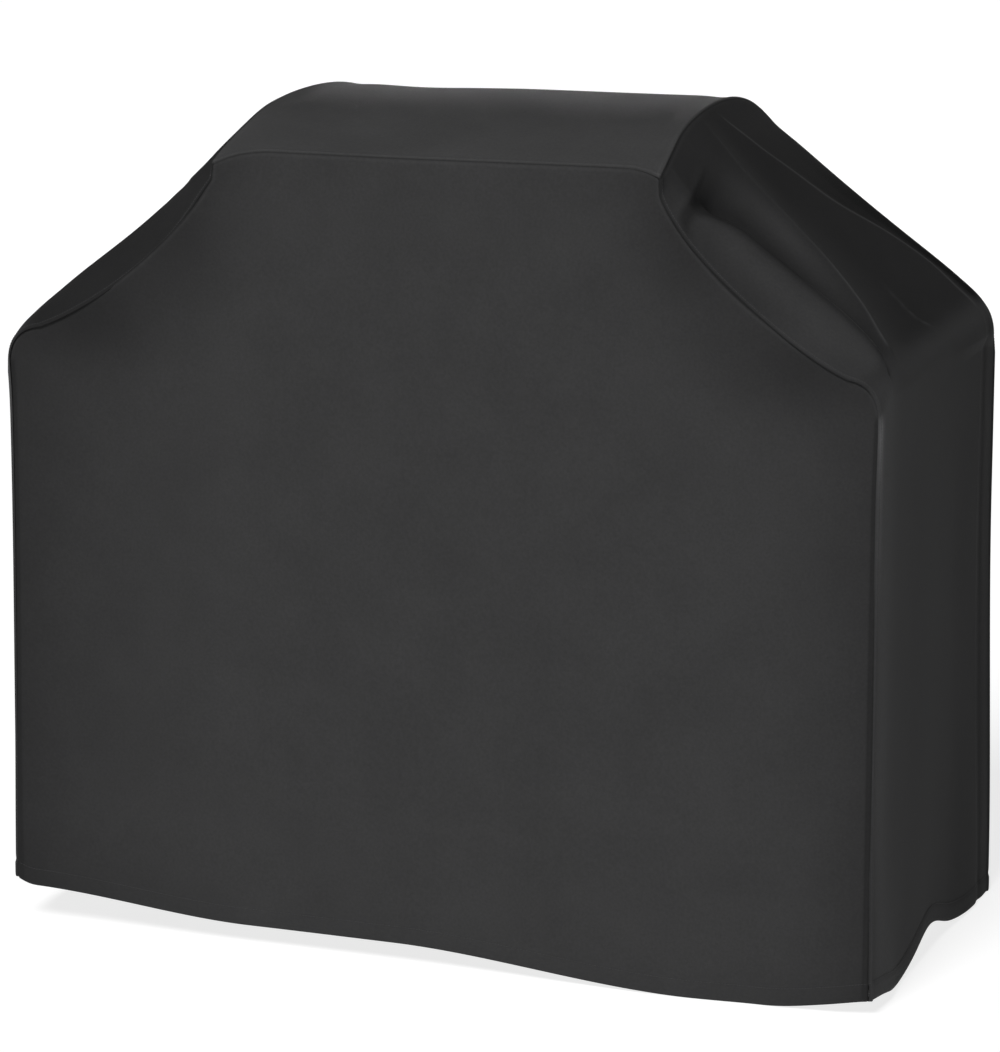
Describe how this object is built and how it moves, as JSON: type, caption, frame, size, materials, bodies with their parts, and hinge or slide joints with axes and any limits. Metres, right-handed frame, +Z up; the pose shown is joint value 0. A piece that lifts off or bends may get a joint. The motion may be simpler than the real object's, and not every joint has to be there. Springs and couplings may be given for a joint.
{
  "type": "grill cover",
  "caption": "Sewn black fabric cover for a gas grill, with an arched top, sloping shoulders over the side shelves and a drawcord hem with a cord lock.",
  "frame": {"origin": "middle of the cover's base, level with the lowest points of the hem", "axes": "+X to the right seen from the front, +Y towards the back, +Z up"},
  "size_m": [1.27, 0.642, 1.1818],
  "materials": {
    "cover_fabric": "matt black coated polyester weave",
    "seam_tape": "smooth grey heat-sealed tape",
    "elastic_cord": "braided black elastic",
    "eyelet_metal": "blackened metal",
    "lock_plastic": "moulded black plastic",
    "spring_steel": "bright spring wire"
  },
  "bodies": {
    "cover": {"front_panel": "cover_fabric", "back_panel": "cover_fabric", "crown_panel": "cover_fabric", "right_end_panel": "cover_fabric", "left_end_panel": "cover_fabric", "front_hem_casing": "cover_fabric", "back_hem_casing": "cover_fabric", "right_hem_casing": "cover_fabric", "left_hem_casing": "cover_fabric", "front_right_seam_tape": "seam_tape", "front_left_seam_tape": "seam_tape", "back_right_seam_tape": "seam_tape", "back_left_seam_tape": "seam_tape", "crown_front_seam_tape": "seam_tape", "crown_back_seam_tape": "seam_tape", "crown_right_seam_tape": "seam_tape", "crown_left_seam_tape": "seam_tape", "drawcord": "elastic_cord", "eyelet_left": "eyelet_metal", "eyelet_right": "eyelet_metal", "eyelet_washer_left": "eyelet_metal", "eyelet_washer_right": "eyelet_metal", "cord_end_left": "lock_plastic", "cord_end_right": "lock_plastic"},
    "cord_lock": {"cord_lock_body": "lock_plastic", "cord_lock_spring": "spring_steel"},
    "lock_button": {"cord_lock_button": "lock_plastic"}
  },
  "joints": [
    {"name": "cord_lock_slide", "type": "slide", "parent": "cover", "child": "cord_lock", "axis": [0, 1, 0], "range_m": [0, 0.008]},
    {"name": "lock_button_press", "type": "slide", "parent": "cord_lock", "child": "lock_button", "axis": [0, 0, -1], "range_m": [0, 0.003], "stiffness_N_per_m": 400, "springref_m": -0.003, "deforming": ["cord_lock_spring"]}
  ]
}
